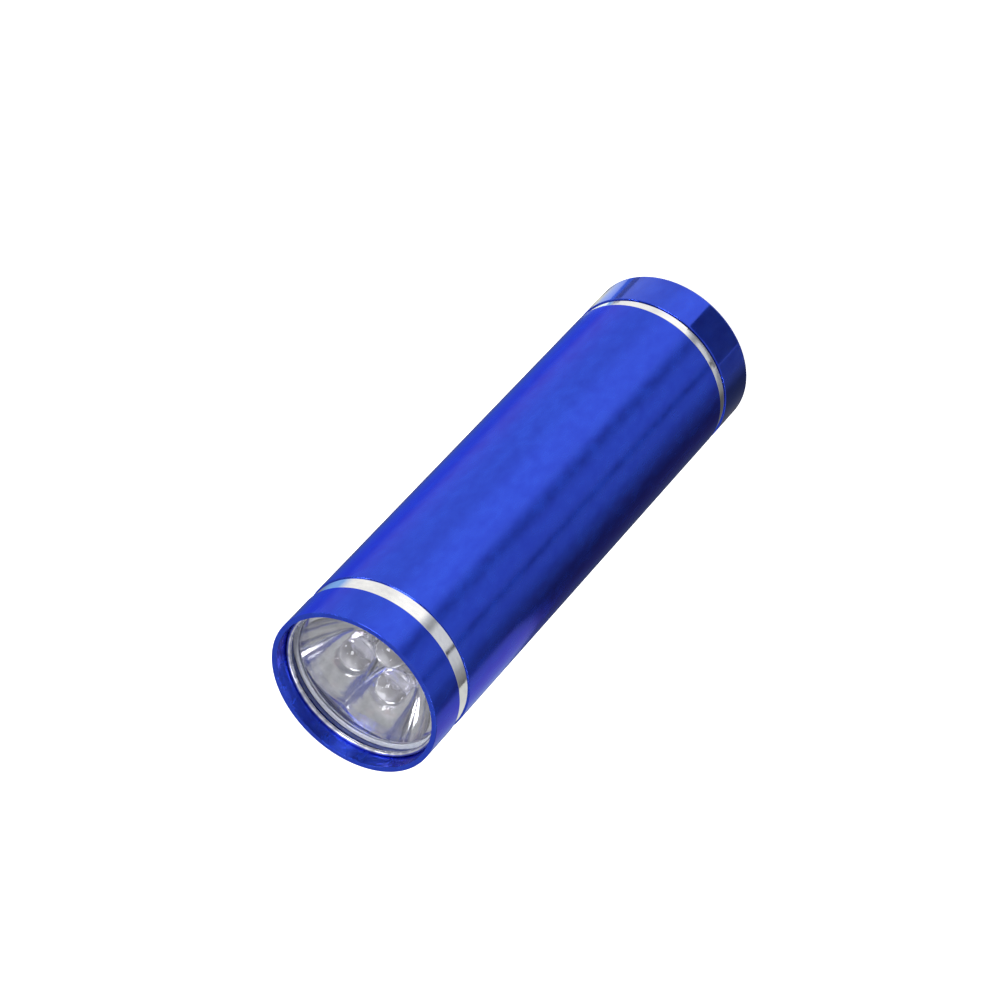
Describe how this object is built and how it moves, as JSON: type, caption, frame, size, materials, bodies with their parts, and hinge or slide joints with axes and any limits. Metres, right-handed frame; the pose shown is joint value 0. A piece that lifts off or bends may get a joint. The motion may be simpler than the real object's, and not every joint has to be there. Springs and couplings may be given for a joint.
{
  "type": "uv curing lamp",
  "caption": "Pocket torch-style curing lamp: round aluminium tube with bright trim rings, screwed head with lens and reflector, and screwed tail cap with push button.",
  "frame": {"origin": "centre of the tail cap's flat end face, which the lamp stands on", "axes": "+Z along the lamp's axis from the tail cap towards the lens; +X and +Y are across it, with one of the three LEDs on the -Y side"},
  "size_m": [0.028, 0.028, 0.095],
  "materials": {
    "blue_anodised": "satin blue anodising on turned aluminium",
    "bright_aluminium": "bright cut, uncoated",
    "clear_lens": "clear polished acrylic",
    "silicone": "translucent silicone",
    "metallised": "vacuum-metallised plastic, mirror bright",
    "epoxy": "clear cast epoxy",
    "tinned_lead": "tinned",
    "board": "white solder mask on fibreglass",
    "brass": "plain brass",
    "spring_steel": "nickel plated",
    "black_rubber": "matt",
    "black_plastic": "moulded, fine grain",
    "white_plastic": "moulded",
    "resistor_lacquer": "lacquered, plain, with no colour code",
    "cell_jacket": "plain coloured jacket with no text"
  },
  "bodies": {
    "barrel": {"barrel_tube": "blue_anodised", "battery_cage": "black_plastic", "cell_1": "cell_jacket", "cell_2": "cell_jacket", "cell_3": "cell_jacket", "cell_spring_1": "spring_steel", "cell_spring_2": "spring_steel", "cell_spring_3": "spring_steel", "rear_link_strip": "brass", "front_link_strip": "brass", "front_terminal": "brass", "rear_terminal": "brass"},
    "head_seal": {"head_o_ring": "black_rubber"},
    "head": {"head_bezel": "blue_anodised", "front_trim_ring": "bright_aluminium", "front_lens": "clear_lens", "lens_gasket": "silicone", "reflector": "metallised", "led_1_lens": "epoxy", "led_2_lens": "epoxy", "led_3_lens": "epoxy", "led_1_anode": "tinned_lead", "led_2_anode": "tinned_lead", "led_3_anode": "tinned_lead", "led_1_cathode": "tinned_lead", "led_2_cathode": "tinned_lead", "led_3_cathode": "tinned_lead", "led_board": "board", "board_retaining_ring": "brass", "board_contact_spring": "spring_steel", "current_resistor": "resistor_lacquer"},
    "tail_seal": {"tail_o_ring": "black_rubber"},
    "tail": {"tail_cap": "blue_anodised", "rear_trim_ring": "bright_aluminium", "button_boot": "black_rubber", "switch_housing": "black_plastic", "return_spring": "spring_steel", "switch_cover": "black_plastic", "switch_terminal": "brass", "switch_retaining_ring": "brass", "tail_spring": "spring_steel"},
    "button": {"switch_plunger": "white_plastic", "moving_contact": "brass"}
  },
  "joints": [
    {"name": "head_travel", "type": "slide", "parent": "barrel", "child": "head_seal", "axis": [0, 0, 1], "range_m": [0, 0.005]},
    {"name": "head_turn", "type": "hinge", "parent": "head_seal", "child": "head", "pos_m": [0, 0, 0.088], "axis": [0, 0, 1], "range_deg": [0, 1800]},
    {"name": "tail_travel", "type": "slide", "parent": "barrel", "child": "tail_seal", "axis": [0, 0, -1], "range_m": [0, 0.005]},
    {"name": "tail_turn", "type": "hinge", "parent": "tail_seal", "child": "tail", "pos_m": [0, 0, 0.007], "axis": [0, 0, -1], "range_deg": [0, 1800]},
    {"name": "button_press", "type": "slide", "parent": "tail", "child": "button", "axis": [0, 0, 1], "range_m": [0, 0.0012], "stiffness_N_per_m": 1200, "springref_m": -0.0006, "deforming": ["return_spring", "button_boot"]}
  ],
  "couplings": [
    {"joint": "head_travel", "follows": "head_turn", "m_per_rad": 0.000159},
    {"joint": "tail_travel", "follows": "tail_turn", "m_per_rad": 0.000159}
  ]
}
